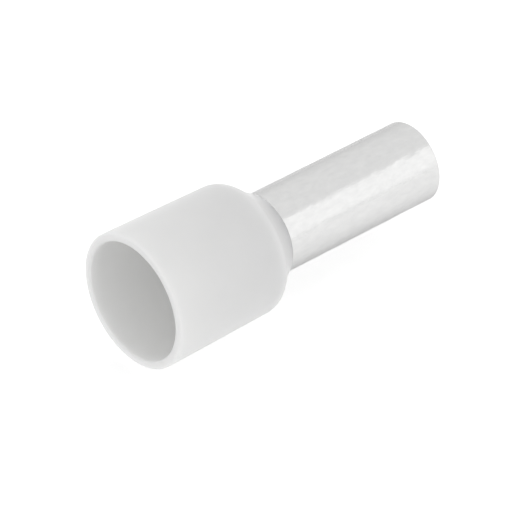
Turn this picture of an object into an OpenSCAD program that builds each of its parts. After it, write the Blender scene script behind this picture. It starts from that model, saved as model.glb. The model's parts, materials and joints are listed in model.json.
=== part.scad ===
// Insulated wire end ferrule, standing on the mouth of its collar.
//
// Two pieces make it. A thin tinned copper tube takes the stripped strands and is crimped onto them, and
// its inner end opens in a bell that gathers the strands. A moulded collar sits over the bell, grips the
// tube with its neck, and takes the end of the wire's insulation.
//
// Everything is round about Z. The mouth of the collar lies in the plane z = 0 and the tip of the tube
// points up, so the origin is the centre of the mouth.

/* [Lengths] */
// Length of the collar, from its mouth to the lip of its neck
collar_length = 10; // [8:0.1:14]
// Length of the tube that stands out of the collar, where it is crimped
tube_exposed = 12; // [6:0.1:20]

/* [Tube] */
// Diameter of the tube's bore, which takes the stripped strands
tube_bore = 4.7; // [3.9:0.01:5.7]
// Thickness of the tube's wall
tube_wall = 0.2; // [0.15:0.01:0.3]
// Rounding of the two edges at the tip
tip_round = 0.06; // [0.02:0.01:0.07]

/* [Bell] */
// Bend radius on the outside of the tube where it opens into the bell
bell_bend = 2.5; // [2:0.05:3]
// Gap all round between the rim of the bell and the collar's bore
bell_gap = 0.15; // [0.05:0.01:0.3]
// Straight length of tube that the neck grips above the bell
neck_grip = 0.1; // [0.05:0.01:0.5]

/* [Collar] */
// Diameter of the bore that takes the wire's insulation
insulation_bore = 7.4; // [6.1:0.01:8.9]
// Thickness of the collar's wall at its mouth
collar_wall = 0.55; // [0.4:0.01:0.8]
// Draft of the outside, so that the collar leaves its mould
draft = 1; // [0.5:0.1:1.5]
// Radius of the convex shoulder
shoulder_round = 1.2; // [0.8:0.1:1.6]
// Radius of the hollow between the shoulder and the lip
neck_round = 6; // [4:0.1:8]
// Angle between the outside and the axis at the lip
neck_angle = 28; // [20:0.5:34]
// Thickness of the lip, where the neck ends on the tube
lip_wall = 0.15; // [0.1:0.01:0.25]
// Rounding of the outer edge of the mouth
rim_round = 0.18; // [0.05:0.01:0.25]
// Rounding of the inner edge of the mouth, which leads the insulation in
entry_round = 0.1; // [0.05:0.01:0.15]
// Fillet between the insulation bore and the seat of the bell
seat_fillet = 0.3; // [0.1:0.01:0.4]

/* [Hidden] */
$fn = 180;
CLEAR = 1; // how far a cutting shape runs past what it cuts

overall_length = collar_length + tube_exposed;
tube_inner = tube_bore / 2;
tube_outer = tube_inner + tube_wall;
bore_radius = insulation_bore / 2;
mouth_radius = bore_radius + collar_wall;
lip_radius = tube_outer + lip_wall;

// Points of the half section are [radius, z]. A heading is counted anticlockwise from straight out, so a
// wall that closes in towards the tip at an angle from the axis faces along heading(angle)
function heading(angle) = [cos(angle), sin(angle)];
function dot(a, b) = a[0] * b[0] + a[1] * b[1];

// The points that take an outline round a corner: on its first side, at the rounding's centre, and on its
// second side. Each side is given by its heading away from the corner
function rounding(corner, first, second, r) =
    let(half = abs(second - first) / 2)
    [
        corner + r / tan(half) * heading(first),
        corner + r / sin(half) * heading((first + second) / 2),
        corner + r / tan(half) * heading(second),
    ];

// The bell. Both faces of the wall turn about one centre, outside the tube, until the outer one comes
// within the gap of the collar's bore
bend_start = collar_length - neck_grip;
bend_centre = [tube_outer + bell_bend, bend_start];
bell_radius = bore_radius - bell_gap;
bell_angle = acos(1 - (bell_radius - tube_outer) / bell_bend);
bell_rim_outer = bend_centre - bell_bend * heading(bell_angle);
bell_rim_inner = bell_rim_outer - tube_wall * heading(bell_angle);

// The seat of the bell carries on at the same slope as far as the collar's bore. The fillet at its foot
// ends before the rim of the bell
seat_corner = [bore_radius, bell_rim_outer[1] - bell_gap / tan(bell_angle)];
seat_round = min(seat_fillet, bell_gap / (1 - cos(bell_angle)));
seat = rounding(seat_corner, 270, 90 + bell_angle, seat_round);

// The shoulder. A convex arc touches the drafted wall, a hollow arc ends at the lip, and the two touch
// each other: the convex one's centre slides along beside the wall until its distance from the other
// centre is the sum of the two radii
neck_centre = [lip_radius, collar_length] + neck_round * heading(neck_angle);
slide = [-tan(draft), 1];
slide_from = [mouth_radius, 0] - shoulder_round * heading(draft);
away = slide_from - neck_centre;
half_b = dot(away, slide) / dot(slide, slide);
last_c = (dot(away, away) - pow(shoulder_round + neck_round, 2)) / dot(slide, slide);
shoulder_z = -half_b - sqrt(half_b * half_b - last_c);
shoulder_centre = slide_from + shoulder_z * slide;
wall_end = [mouth_radius, 0] + shoulder_z * slide;
convex_share = shoulder_round / (shoulder_round + neck_round);
arcs_meet = shoulder_centre + convex_share * (neck_centre - shoulder_centre);

// The edges of the mouth and of the tip
rim = rounding([mouth_radius, 0], 180, 90 + draft, rim_round);
entry = rounding([bore_radius, 0], 0, 90, entry_round);
tip_out = rounding([tube_outer, overall_length], 270, 180, tip_round);
tip_in = rounding([tube_inner, overall_length], 270, 360, tip_round);

module disc(centre, r) {
    translate(centre) circle(r);
}

// Half section of everything inside the collar's outer skin
module collar_outside() {
    difference() {
        union() {
            polygon(concat(
                [[0, 0]],
                rim,
                [wall_end, shoulder_centre, arcs_meet],
                [[lip_radius, collar_length], [0, collar_length]]
            ));
            disc(rim[1], rim_round);
            disc(shoulder_centre, shoulder_round);
        }
        disc(neck_centre, neck_round);
    }
}

// Half section of the collar's hollow: the insulation bore, the seat of the bell and the neck's grip
module collar_hollow() {
    difference() {
        union() {
            polygon(concat(
                [[-CLEAR, -CLEAR], [entry[0][0], -CLEAR]],
                entry,
                seat,
                [bell_rim_outer, [tube_outer, bend_start], [tube_outer, collar_length + CLEAR]],
                [[-CLEAR, collar_length + CLEAR]]
            ));
            disc(seat[1], seat_round);
        }
        disc(entry[1], entry_round);
        disc(bend_centre, bell_bend);
    }
}

// Half section of everything inside the tube's outer skin
module tube_outside() {
    difference() {
        union() {
            polygon(concat(
                [[0, bell_rim_inner[1]], bell_rim_inner, bell_rim_outer, [tube_outer, bend_start]],
                tip_out,
                [[0, overall_length]]
            ));
            disc(tip_out[1], tip_round);
        }
        disc(bend_centre, bell_bend);
    }
}

// Half section of the tube's bore and of the inside of its bell
module tube_hollow() {
    difference() {
        polygon(concat(
            [[-CLEAR, bell_rim_inner[1]], bell_rim_inner, [tube_inner, bend_start]],
            tip_in,
            [[tip_in[2][0], overall_length + CLEAR], [-CLEAR, overall_length + CLEAR]]
        ));
        disc(bend_centre, bell_bend + tube_wall);
        disc(tip_in[1], tip_round);
    }
}

module collar() {
    color("whitesmoke")
        rotate_extrude()
            difference() {
                collar_outside();
                collar_hollow();
            }
}

module tube() {
    color("silver")
        rotate_extrude()
            difference() {
                tube_outside();
                tube_hollow();
            }
}

collar();
tube();
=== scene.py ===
# %% [markdown]
# # A wire ferrule, in cells
#
# A wire ferrule is a thin tinned copper tube that is crimped over the stripped strands of a wire, with
# a moulded plastic collar on its inner end that takes the wire's insulation. The construction model
# gives both pieces at their real size. Here each one gets a fine surface of its own, worked out from
# the same sizes, and the finish of the real thing.
#
# The frame is the construction model as it was packed. It is loaded first, and nothing in it is moved.
# Its box is kept.

# %% Load the frame
import json
import math

import bpy
import numpy as np
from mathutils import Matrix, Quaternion, Vector


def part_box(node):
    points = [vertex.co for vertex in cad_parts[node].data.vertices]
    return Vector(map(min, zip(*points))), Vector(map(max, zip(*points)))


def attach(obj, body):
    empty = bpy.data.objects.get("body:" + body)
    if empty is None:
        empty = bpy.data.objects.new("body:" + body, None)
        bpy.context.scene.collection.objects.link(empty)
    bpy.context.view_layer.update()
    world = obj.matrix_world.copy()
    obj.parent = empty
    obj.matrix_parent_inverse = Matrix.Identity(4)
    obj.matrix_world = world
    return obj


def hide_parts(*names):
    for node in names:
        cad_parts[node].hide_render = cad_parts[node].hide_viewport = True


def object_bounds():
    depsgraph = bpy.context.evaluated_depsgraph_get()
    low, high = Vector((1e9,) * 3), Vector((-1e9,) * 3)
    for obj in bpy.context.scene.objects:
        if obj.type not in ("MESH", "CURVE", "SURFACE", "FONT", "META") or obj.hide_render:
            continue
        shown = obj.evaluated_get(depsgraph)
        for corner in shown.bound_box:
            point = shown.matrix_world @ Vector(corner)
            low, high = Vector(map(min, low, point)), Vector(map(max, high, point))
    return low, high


MM = 0.001

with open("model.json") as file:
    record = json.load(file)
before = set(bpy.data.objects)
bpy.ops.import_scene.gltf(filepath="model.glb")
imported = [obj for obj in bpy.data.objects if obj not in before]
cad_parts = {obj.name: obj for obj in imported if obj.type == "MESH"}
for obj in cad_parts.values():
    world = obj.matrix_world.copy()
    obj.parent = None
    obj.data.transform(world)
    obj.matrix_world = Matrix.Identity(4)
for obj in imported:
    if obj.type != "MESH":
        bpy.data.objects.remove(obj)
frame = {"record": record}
cad_low, cad_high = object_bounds()
print("CAD box, mm:", [round(v / MM, 3) for v in (*cad_low, *cad_high)])

# %% [markdown]
# ## Camera
#
# The camera looks into the open mouth from below and to one side, and is rolled so that the ferrule
# lies across the picture with its tip up on the right. It stands far off with a long lens, as small
# parts are taken, so the far end is hardly smaller than the near one. The place is worked out from four
# plain facts: the direction from the part to the camera as an azimuth and an elevation, the roll about
# the line of sight, the point that is looked at, and the distance to it.

# %% Make the camera
VIEW_AZIMUTH = 47.41
VIEW_ELEVATION = -33.6
VIEW_ROLL = 63.04
VIEW_DISTANCE = 233.3 * MM
AIM_HEIGHT = 9.51 * MM
AIM_DROP = 0.97 * MM
LENS = 281.25
CLIP_START = 0.01
CLIP_END = 10


def towards(azimuth, elevation):
    """The unit vector (sin a cos e, -cos a cos e, sin e), with azimuth 0 on the side of -Y."""
    a, e = math.radians(azimuth), math.radians(elevation)
    return Vector((math.sin(a) * math.cos(e), -math.cos(a) * math.cos(e), math.sin(e)))


def place_camera():
    """Camera = aim + distance x direction to the camera. The aim is a point on the ferrule's axis,
    moved down in the picture by AIM_DROP. The roll turns the camera about its own line of sight."""
    back = towards(VIEW_AZIMUTH, VIEW_ELEVATION)
    level = (-back).to_track_quat("-Z", "Y")
    turned = level @ Quaternion((0, 0, 1), math.radians(VIEW_ROLL))
    down = turned @ Vector((0, -1, 0))
    camera = bpy.data.objects.new("camera", bpy.data.cameras.new("camera"))
    camera.data.lens = LENS
    camera.data.clip_start = CLIP_START
    camera.data.clip_end = CLIP_END
    camera.rotation_mode = "QUATERNION"
    camera.rotation_quaternion = turned
    camera.location = Vector((0, 0, AIM_HEIGHT)) + AIM_DROP * down + VIEW_DISTANCE * back
    bpy.context.scene.collection.objects.link(camera)
    bpy.context.scene.camera = camera
    return camera


camera = place_camera()
print("camera, mm:", [round(v / MM, 1) for v in camera.location])

# %% [markdown]
# ## Sizes
#
# Both pieces are round about one axis, so each is a half section turned about Z. The sizes come from
# the frame where it holds them: the bores and the pin are in its record as mounts, and the lengths are
# in the boxes of its nodes. The walls, bends and roundings are named here, in millimetres and degrees.

# %% Read the sizes from the frame
mounts = {mount["name"]: mount for mount in frame["record"]["mounts"]}
BORE_RADIUS = mounts["insulation_bore"]["dims"]["r_mm"]
TUBE_INNER = mounts["wire_bore"]["dims"]["r_mm"]
TUBE_OUTER = mounts["contact_pin"]["dims"]["r_mm"]
COLLAR_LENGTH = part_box("collar")[1].z / MM
OVERALL_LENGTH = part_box("tube")[1].z / MM
BELL_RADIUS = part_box("tube")[1].x / MM

COLLAR_WALL = 0.55
DRAFT = 1
SHOULDER_ROUND = 1.2
NECK_ROUND = 6
NECK_ANGLE = 28
LIP_WALL = 0.15
LIP_ROUND = 0.04
RIM_ROUND = 0.18
ENTRY_ROUND = 0.1
SEAT_FILLET = 0.3
BELL_BEND = 2.5
NECK_GRIP = 0.1
TIP_ROUND = 0.06

print("bores, mm:", BORE_RADIUS, TUBE_INNER, " lengths, mm:", COLLAR_LENGTH, OVERALL_LENGTH)

# %% [markdown]
# ## Outlines from lines and arcs
#
# An outline is a list of points [radius, height]. Three small helpers are enough: a heading, which is a
# direction as an angle, an arc about a centre, and the rounding of a corner. Straight stretches that
# need many rows, because a finish or a waviness follows them, are divided into even steps.

# %% Helpers for outlines
ROUNDING_ROWS = 9


def heading(angle):
    """The unit vector at that many degrees, counted anticlockwise from straight out."""
    return np.array([math.cos(math.radians(angle)), math.sin(math.radians(angle))])


def arc(centre, radius, start, end, count):
    """centre + radius x heading(angle), for count angles in even steps from start to end."""
    angles = np.radians(np.linspace(start, end, count))
    return centre + radius * np.column_stack([np.cos(angles), np.sin(angles)])


def straight(start, end, count):
    """start + share x (end - start), for count even shares from 0 to 1."""
    share = np.linspace(0, 1, count)[:, None]
    return np.asarray(start) + share * (np.asarray(end) - np.asarray(start))


def rounding(corner, first, second, radius):
    """The arc that touches both sides of a corner. Each side is given by its heading away from the
    corner, and the arc's centre lies between them, radius / sin(half the corner's angle) away."""
    half = abs(second - first) / 2
    middle = heading((first + second) / 2)
    centre = np.asarray(corner) + radius / math.sin(math.radians(half)) * middle
    turn = 90 if second > first else -90
    last = second + turn - 360 * np.sign(turn)
    return arc(centre, radius, first - turn, last, ROUNDING_ROWS)


# %% [markdown]
# ## The collar's outline
#
# The collar is one moulding. Its wall has a draft of one degree so that it leaves the mould, and its
# shoulder is an S: a tight convex arc that runs into a wide hollow one. The two touch each other where
# the distance between their centres is the sum of their radii, and a quadratic gives that place. The
# inside has the wire's bore, the seat of the bell, and the neck that grips the tube.

# %% Work out the collar's outline
WALL_ROWS = 40
SHOULDER_ROWS = 24
BEND_ROWS = 16

MOUTH_RADIUS = BORE_RADIUS + COLLAR_WALL
LIP_RADIUS = TUBE_OUTER + LIP_WALL
BEND_START = COLLAR_LENGTH - NECK_GRIP
BEND_CENTRE = np.array([TUBE_OUTER + BELL_BEND, BEND_START])
BELL_ANGLE = math.degrees(math.acos(1 - (BELL_RADIUS - TUBE_OUTER) / BELL_BEND))


def shoulder_centres():
    """The centre of the hollow arc, set from the lip, and the centre of the convex one. The convex
    centre slides along beside the drafted wall: |start + t x slide - hollow centre| = sum of the radii,
    solved for t."""
    hollow = np.array([LIP_RADIUS, COLLAR_LENGTH]) + NECK_ROUND * heading(NECK_ANGLE)
    slide = np.array([-math.tan(math.radians(DRAFT)), 1])
    start = np.array([MOUTH_RADIUS, 0]) - SHOULDER_ROUND * heading(DRAFT)
    away = start - hollow
    half_b = away @ slide / (slide @ slide)
    last_c = (away @ away - (SHOULDER_ROUND + NECK_ROUND) ** 2) / (slide @ slide)
    return hollow, start + (-half_b - math.sqrt(half_b**2 - last_c)) * slide


def collar_outline():
    """Rim, drafted wall, convex and hollow arcs, lip, neck, seat of the bell, bore, and entry."""
    hollow, convex = shoulder_centres()
    across = hollow - convex
    meet = math.degrees(math.atan2(across[1], across[0]))
    rim = rounding([MOUTH_RADIUS, 0], 180, 90 + DRAFT, RIM_ROUND)
    seat_z = BEND_START - BELL_BEND * math.sin(math.radians(BELL_ANGLE))
    rise = (BORE_RADIUS - BELL_RADIUS) / math.tan(math.radians(BELL_ANGLE))
    seat = rounding([BORE_RADIUS, seat_z - rise], 90 + BELL_ANGLE, 270, SEAT_FILLET)
    return np.vstack(
        [
            rim[:-1],
            straight(rim[-1], convex + SHOULDER_ROUND * heading(DRAFT), WALL_ROWS)[:-1],
            arc(convex, SHOULDER_ROUND, DRAFT, meet, SHOULDER_ROWS)[:-1],
            arc(hollow, NECK_ROUND, meet + 180, NECK_ANGLE + 180, SHOULDER_ROWS)[:-1],
            rounding([LIP_RADIUS, COLLAR_LENGTH], 270 + NECK_ANGLE, 180, LIP_ROUND),
            [[TUBE_OUTER, COLLAR_LENGTH]],
            arc(BEND_CENTRE, BELL_BEND, 180, 180 + BELL_ANGLE, BEND_ROWS),
            seat[:-1],
            straight(seat[-1], [BORE_RADIUS, ENTRY_ROUND], WALL_ROWS)[:-1],
            rounding([BORE_RADIUS, 0], 90, 0, ENTRY_ROUND),
        ]
    )


collar_profile = collar_outline()
print("collar outline:", len(collar_profile), "points, top at", collar_profile[:, 1].max(), "mm")

# %% [markdown]
# ## A closed surface of revolution
#
# A Screw modifier or Spin could turn an outline about an axis, but they leave a seam to merge. Here
# every vertex is worked out at once as an array: the rows follow the outline, the columns go round, and
# the last row and column join the first, so the surface is closed with no seam and no pole. A relief,
# if there is one, is added to the radius at each vertex.

# %% Turn an outline into a mesh
COLUMNS = 256
SHARP_ANGLE = 40


def around():
    """The angle of each column, in radians."""
    return np.arange(COLUMNS) * (2 * math.pi / COLUMNS)


def revolve(name, profile, relief=0.0):
    """Point (row, column) = ((radius + relief) cos angle, (radius + relief) sin angle, height). A face
    joins a row to the next one, and runs so that its normal points out of an outline that goes
    anticlockwise."""
    rows, angles = len(profile), around()
    grid = np.zeros((rows, COLUMNS))
    radius = profile[:, :1] + relief + grid
    height = profile[:, 1:] + grid
    points = np.stack([radius * np.cos(angles), radius * np.sin(angles), height], axis=-1)
    index = np.arange(rows * COLUMNS).reshape(rows, COLUMNS)
    beside, above = np.roll(index, -1, axis=1), np.roll(index, -1, axis=0)
    faces = np.stack([index, beside, np.roll(beside, -1, axis=0), above], axis=-1).reshape(-1, 4)
    mesh = bpy.data.meshes.new(name)
    mesh.vertices.add(rows * COLUMNS)
    mesh.vertices.foreach_set("co", (points * MM).astype(np.float32).ravel())
    mesh.loops.add(faces.size)
    mesh.loops.foreach_set("vertex_index", faces.astype(np.int32).ravel())
    mesh.polygons.add(len(faces))
    mesh.polygons.foreach_set("loop_start", np.arange(len(faces), dtype=np.int32) * 4)
    mesh.polygons.foreach_set("use_smooth", np.ones(len(faces), dtype=bool))
    mesh.update(calc_edges=True)
    mesh.validate()
    mesh.set_sharp_from_angle(angle=math.radians(SHARP_ANGLE))
    piece = bpy.data.objects.new(name, mesh)
    bpy.context.scene.collection.objects.link(piece)
    print(name, "has", 2 * len(faces), "triangles")
    return piece


collar = revolve("collar_moulding", collar_profile)
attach(collar, "root")
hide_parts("collar")

# %% [markdown]
# ## The tube's outline
#
# The tube is drawn from copper and its inner end is opened in a bell, which the collar sits over. Both
# faces of the bell turn about one centre. The rows are close together on the bare stretch, because the
# next cell gives it the slight waves that a drawn and plated tube has.

# %% Work out the tube's outline
SKIN_ROWS = 220
BORE_ROWS = 60


def tube_outline():
    """Rim of the bell, outer bell, bare skin, tip, bore, and inner bell."""
    tip_start = OVERALL_LENGTH - TIP_ROUND
    wall = TUBE_OUTER - TUBE_INNER
    return np.vstack(
        [
            arc(BEND_CENTRE, BELL_BEND, 180 + BELL_ANGLE, 180, BEND_ROWS)[:-1],
            straight([TUBE_OUTER, BEND_START], [TUBE_OUTER, tip_start], SKIN_ROWS)[:-1],
            rounding([TUBE_OUTER, OVERALL_LENGTH], 270, 180, TIP_ROUND),
            rounding([TUBE_INNER, OVERALL_LENGTH], 0, -90, TIP_ROUND),
            straight([TUBE_INNER, tip_start], [TUBE_INNER, BEND_START], BORE_ROWS)[1:-1],
            arc(BEND_CENTRE, BELL_BEND + wall, 180, 180 + BELL_ANGLE, BEND_ROWS),
        ]
    )


tube_profile = tube_outline()
print("tube outline:", len(tube_profile), "points, lowest at", round(tube_profile[:, 1].min(), 3), "mm")

# %% [markdown]
# ## Waves in the skin
#
# A thin soft tube is never quite round: drawing, cutting and tumbling leave waves of a few thousandths
# of a millimetre. They don't show as a shape, but they break up every reflection, and that is what
# makes tinned copper look like tin. They are real relief here, so the mesh has them too. Each wave is a
# sine that goes a whole number of times round the tube, so that it closes, and all of them only press
# the skin inwards.

# %% Press the waves in
WAVES = 140
WAVE_DEPTH = 0.008
WAVE_FADE = 0.35
WAVE_LENGTHS = (0.5, 3.5)
TIMES_BELOW = 30
WAVE_SEED = 7
ON_SKIN = 1e-6


def skin_relief(profile):
    """- depth x (1 + waves) / 2, times a fade to nothing at the collar's lip and at the tip. The waves
    are a sum of sines, held between -1 and 1. One sine is sin(times round x angle + 2 pi height /
    length + phase), and it counts less as it gets shorter."""
    draw = np.random.default_rng(WAVE_SEED)
    times = draw.integers(0, TIMES_BELOW, WAVES)[:, None, None]
    length = draw.uniform(*WAVE_LENGTHS, WAVES)[:, None, None]
    phase = draw.uniform(0, 2 * math.pi, WAVES)[:, None, None]
    height = profile[None, :, 1:]
    finest = np.hypot(times / TUBE_OUTER, 2 * math.pi / length)
    share = 1 / np.sqrt(finest)
    sines = np.sin(times * around() + 2 * math.pi * height / length + phase)
    waves = (share * sines).sum(axis=0) / np.sqrt((share**2).sum())
    skin = (np.abs(profile[:, 0] - TUBE_OUTER) < ON_SKIN).astype(float)
    from_lip = np.clip((profile[:, 1] - COLLAR_LENGTH) / WAVE_FADE, 0, 1)
    from_tip = np.clip((OVERALL_LENGTH - TIP_ROUND - profile[:, 1]) / WAVE_FADE, 0, 1)
    fade = (skin * from_lip * from_tip)[:, None]
    return -WAVE_DEPTH * fade * (1 + np.clip(waves, -1, 1)) / 2


relief = skin_relief(tube_profile)
print("waves press the skin in by up to", round(-relief.min(), 4), "mm")
tube = revolve("crimp_tube", tube_profile, relief)
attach(tube, "root")
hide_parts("tube")

# %% [markdown]
# ## Materials
#
# Colours are written as sRGB hex values and turned to linear light by one function. A second small
# function adds a node with its settings and its inputs, and every material is built with it. The rest
# are the few patterns that both finishes use: a noise of a given size, that noise stretched along Z or
# spread over a range, a mix of two colours, and a bump. Sizes of patterns are in millimetres.

# %% Helpers for materials
NOISE_LOW = 0.3
NOISE_HIGH = 0.7


def linear(hex_colour):
    """Each part c becomes c / 12.92 up to 0.04045, and ((c + 0.055) / 1.055) ** 2.4 above that."""
    parts = np.array([int(hex_colour[i : i + 2], 16) for i in (0, 2, 4)]) / 255
    light = np.where(parts <= 0.04045, parts / 12.92, ((parts + 0.055) / 1.055) ** 2.4)
    return (*light.tolist(), 1.0)


def add(tree, kind, inputs=None, **settings):
    """Adds a node of that kind, sets its settings, and fills each input with a number or a link."""
    made = tree.nodes.new(kind)
    for setting, value in settings.items():
        setattr(made, setting, value)
    for socket, value in (inputs or {}).items():
        if isinstance(value, bpy.types.NodeSocket):
            tree.links.new(value, made.inputs[socket])
        else:
            made.inputs[socket].default_value = value
    return made


def new_material(name):
    """An empty node material of that name, and its tree."""
    material = bpy.data.materials.new(name)
    material.use_nodes = True
    material.node_tree.nodes.clear()
    return material, material.node_tree


def noise(tree, place, size_mm, detail, **inputs):
    """A noise with features of about size_mm, on coordinates in metres: its scale is 1 / size."""
    inputs = {"Vector": place, "Scale": 1 / (size_mm * MM), "Detail": detail, **inputs}
    return add(tree, "ShaderNodeTexNoise", inputs).outputs["Fac"]


def stretched(tree, place, along):
    """The coordinates with z times along. Below 1, a noise changes slowly along Z."""
    return add(tree, "ShaderNodeMapping", {"Vector": place, "Scale": (1, 1, along)}).outputs["Vector"]


def spread(tree, value, first, last):
    """From first to last while the value goes from NOISE_LOW to NOISE_HIGH, as most of a noise does."""
    inputs = {
        "Value": value,
        "From Min": NOISE_LOW,
        "From Max": NOISE_HIGH,
        "To Min": first,
        "To Max": last,
    }
    return add(tree, "ShaderNodeMapRange", inputs).outputs["Result"]


def two_greys(tree, factor, first, last):
    """The first colour where the factor is 0, the last one where it is 1, and their mix between."""
    inputs = {"Factor": factor, "A": linear(first), "B": linear(last)}
    return add(tree, "ShaderNodeMix", inputs, data_type="RGBA").outputs["Result"]


def bumps(tree, height, strength, depth_mm):
    """The normals of a surface whose relief is height x depth, at that strength."""
    inputs = {"Height": height, "Strength": strength, "Distance": depth_mm * MM}
    return add(tree, "ShaderNodeBump", inputs).outputs["Normal"]


def give_surface(tree, kind, inputs):
    """Ends the material with a shader of that kind."""
    shader = add(tree, kind, inputs)
    add(tree, "ShaderNodeOutputMaterial", {"Surface": shader.outputs[0]})


# %% [markdown]
# ## Moulded polypropylene
#
# The collar is polypropylene, injection moulded in a lightly eroded steel mould. The eye gets a soft
# satin sheen, hardly any colour, faint clouds where the melt flowed, and a thin wall that lets a little
# light through: it scatters over about 1.6 mm. Its refractive index is about 1.49. The eroded grain is
# about 0.05 mm, too fine to show, so it is drawn at 0.15 mm.

# %% Make the collar's plastic
GRAIN = 0.15
GRAIN_DEPTH = 0.02
GRAIN_STRENGTH = 0.12
CLOUD = 2.5
PLASTIC_GREYS = ("DADADA", "E0E0DF")
PLASTIC_ROUGHNESS = (0.28, 0.38)
PLASTIC_IOR = 1.49
SCATTER = 1.6
SCATTER_COLOUR = (1.0, 1.0, 0.98)


def moulded_polypropylene():
    """Clouds of two near greys, a grain in the surface, and light that scatters under it."""
    material, tree = new_material("moulded_polypropylene")
    place = add(tree, "ShaderNodeTexCoord").outputs["Object"]
    clouds = noise(tree, place, CLOUD, 3.0)
    grain = noise(tree, place, GRAIN, 2.0)
    give_surface(
        tree,
        "ShaderNodeBsdfPrincipled",
        {
            "Base Color": two_greys(tree, clouds, *PLASTIC_GREYS),
            "Roughness": spread(tree, grain, *PLASTIC_ROUGHNESS),
            "Normal": bumps(tree, grain, GRAIN_STRENGTH, GRAIN_DEPTH),
            "IOR": PLASTIC_IOR,
            "Subsurface Weight": 1.0,
            "Subsurface Radius": SCATTER_COLOUR,
            "Subsurface Scale": SCATTER * MM,
        },
    )
    return material


collar.data.materials.append(moulded_polypropylene())
print("collar finish:", collar.data.materials[0].name)

# %% [markdown]
# ## Tinned copper
#
# The tube is copper with a few thousandths of a millimetre of tin on it, put on by electroplating after
# drawing. Tin is a soft pale grey metal. The plating is matt in some spots and bright in others, about
# 0.35 mm across and twice as long along the tube, and the draw lines under it run along the tube too.

# %% Make the tube's metal
SPOT = 0.35
SPOT_STRETCH = 0.5
DRAW_LINE = 0.09
DRAW_STRETCH = 0.06
LINE_SHARE = 0.4
TIN_GREYS = ("D2D2D2", "E2E2E1")
TIN_EDGE = "D8D8D8"
TIN_ROUGHNESS = (0.24, 0.12)
TIN_DEPTH = 0.03
TIN_STRENGTH = 0.3


def tinned_copper():
    """Spots of more and less matt tin, and draw lines. Relief = LINE_SHARE x lines + spots."""
    material, tree = new_material("tinned_copper")
    place = add(tree, "ShaderNodeTexCoord").outputs["Object"]
    spots = noise(tree, stretched(tree, place, SPOT_STRETCH), SPOT, 4.0, Roughness=0.6)
    lines = noise(tree, stretched(tree, place, DRAW_STRETCH), DRAW_LINE, 2.0)
    height = add(
        tree, "ShaderNodeMath", {0: lines, 1: LINE_SHARE, 2: spots}, operation="MULTIPLY_ADD"
    )
    give_surface(
        tree,
        "ShaderNodeBsdfPrincipled",
        {
            "Base Color": two_greys(tree, spots, *TIN_GREYS),
            "Metallic": 1.0,
            "Roughness": spread(tree, spots, *TIN_ROUGHNESS),
            "Specular Tint": linear(TIN_EDGE),
            "Normal": bumps(tree, height.outputs["Value"], TIN_STRENGTH, TIN_DEPTH),
        },
    )
    return material


tube.data.materials.append(tinned_copper())
print("tube finish:", tube.data.materials[0].name)

# %% [markdown]
# ## Stage
#
# The part stands on a white floor, 1.2 m wide, and a white board touches the side of the collar, as a
# table would if the ferrule lay on it. Each is one-sided, and only the camera and mirrors see it: a ray
# that meets the back goes through, and so does the light that falls on the part, so the open mouth is
# lit from below as it is when the part is held in the air. Where a sheet is fully lit it is plain
# white, and it keeps a soft shadow where the part touches it.

# %% Make the floor and the board
STAGE_HALF = 0.6
STAGE_GAP = 0.02 * MM
GLOW_TO_CAMERA = 0.35
GLOW_TO_MIRRORS = 0.3
PAPER = "F4F4F4"


def seen_ray(tree, path):
    """1 for a camera, mirror or glass ray, and 0 for the light that falls on a matt surface."""
    either = add(
        tree,
        "ShaderNodeMath",
        {0: path.outputs["Is Camera Ray"], 1: path.outputs["Is Glossy Ray"]},
        operation="MAXIMUM",
    )
    return add(
        tree,
        "ShaderNodeMath",
        {0: either.outputs["Value"], 1: path.outputs["Is Transmission Ray"]},
        operation="MAXIMUM",
    ).outputs["Value"]


def white_paper():
    """Diffuse white paper plus a glow, shown where seen - back is 1, and transparent elsewhere."""
    material, tree = new_material("white_paper")
    path = add(tree, "ShaderNodeLightPath")
    back = add(tree, "ShaderNodeNewGeometry").outputs["Backfacing"]
    shown = add(
        tree, "ShaderNodeMath", {0: seen_ray(tree, path), 1: back}, operation="SUBTRACT", use_clamp=True
    )
    glow = add(
        tree,
        "ShaderNodeMapRange",
        {"Value": path.outputs["Is Camera Ray"], "To Min": GLOW_TO_MIRRORS, "To Max": GLOW_TO_CAMERA},
    )
    paper = add(tree, "ShaderNodeBsdfDiffuse", {"Color": linear(PAPER)})
    light = add(tree, "ShaderNodeEmission", {"Strength": glow.outputs["Result"]})
    front = add(tree, "ShaderNodeAddShader", {0: paper.outputs["BSDF"], 1: light.outputs["Emission"]})
    through = add(tree, "ShaderNodeBsdfTransparent")
    give_surface(
        tree,
        "ShaderNodeMixShader",
        {0: shown.outputs["Value"], 1: through.outputs["BSDF"], 2: front.outputs["Shader"]},
    )
    return material


def sheet_of_paper(name, corners, material):
    """One square, whose corners run anticlockwise as seen from its white side."""
    mesh = bpy.data.meshes.new(name)
    mesh.from_pydata([tuple(c) for c in corners], [], [(0, 1, 2, 3)])
    mesh.materials.append(material)
    board = bpy.data.objects.new(name, mesh)
    bpy.context.scene.collection.objects.link(board)


paper = white_paper()
square = np.array([(-1, -1), (1, -1), (1, 1), (-1, 1)]) * STAGE_HALF
floor_z = -STAGE_GAP
board_y = cad_high.y + STAGE_GAP
sheet_of_paper("floor", [(x, y, floor_z) for x, y in square], paper)
sheet_of_paper("board", [(x, board_y, z) for x, z in square], paper)
print("floor at", floor_z / MM, "mm, board at", round(board_y / MM, 3), "mm")

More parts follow.
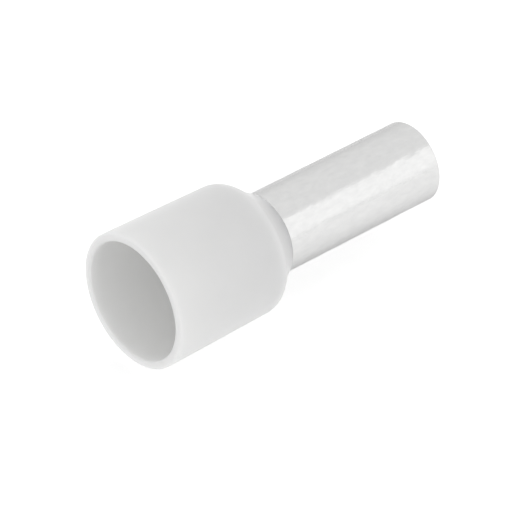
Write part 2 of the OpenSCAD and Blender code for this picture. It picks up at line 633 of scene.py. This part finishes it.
# %% [markdown]
# ## Light
#
# A pale part on white needs even light: the world is a white tent. The camera and the mirrors in the
# metal see it as plain white, and it lights the part at a plain level. Three large lamps add the rest:
# one above on the camera's side, one above on the far side, and a weak one below that looks into the
# mouth. Their width matters more than their power, because a metal shows them as bands as wide as they
# are. Light that goes down the bright bore of the tube meets its wall many times, so a path may bounce
# more often than it does by default.

# %% Make the world and the lamps
TENT_LEVEL = 0.92
DEEP_BOUNCES = 24


def white_tent():
    """White for camera, mirror and glass rays, and TENT_LEVEL for the light that falls on the part.
    Strength = level + (1 - level) x whether the ray is one of those."""
    world = bpy.data.worlds.new("white_tent")
    world.use_nodes = True
    tree = world.node_tree
    tree.nodes.clear()
    path = add(tree, "ShaderNodeLightPath")
    strength = add(
        tree,
        "ShaderNodeMapRange",
        {"Value": seen_ray(tree, path), "To Min": TENT_LEVEL, "To Max": 1.0},
    )
    tent = add(
        tree,
        "ShaderNodeBackground",
        {"Color": (1, 1, 1, 1), "Strength": strength.outputs["Result"]},
    )
    add(tree, "ShaderNodeOutputWorld", {"Surface": tent.outputs["Background"]})
    return world


def lamp(name, azimuth, elevation, distance, width, watts):
    """A square lamp that faces the middle of the part. Its distance and width are in metres."""
    back = towards(azimuth, elevation)
    data = bpy.data.lights.new(name, "AREA")
    data.size = width
    data.energy = watts
    made = bpy.data.objects.new(name, data)
    made.location = Vector((0, 0, OVERALL_LENGTH / 2 * MM)) + distance * back
    made.rotation_mode = "QUATERNION"
    made.rotation_quaternion = (-back).to_track_quat("-Z", "Y")
    bpy.context.scene.collection.objects.link(made)
    return made


bpy.context.scene.world = white_tent()
bpy.context.scene.view_settings.view_transform = "Standard"
bpy.context.scene.cycles.max_bounces = DEEP_BOUNCES
bpy.context.scene.cycles.glossy_bounces = DEEP_BOUNCES
lamps = [
    lamp("key_lamp", azimuth=60, elevation=34, distance=0.25, width=0.2, watts=0.035),
    lamp("fill_lamp", azimuth=240, elevation=40, distance=0.3, width=0.25, watts=0.03),
    lamp("mouth_lamp", azimuth=20, elevation=-72, distance=0.25, width=0.15, watts=0.014),
]
print("lamps:", [made.name for made in lamps])
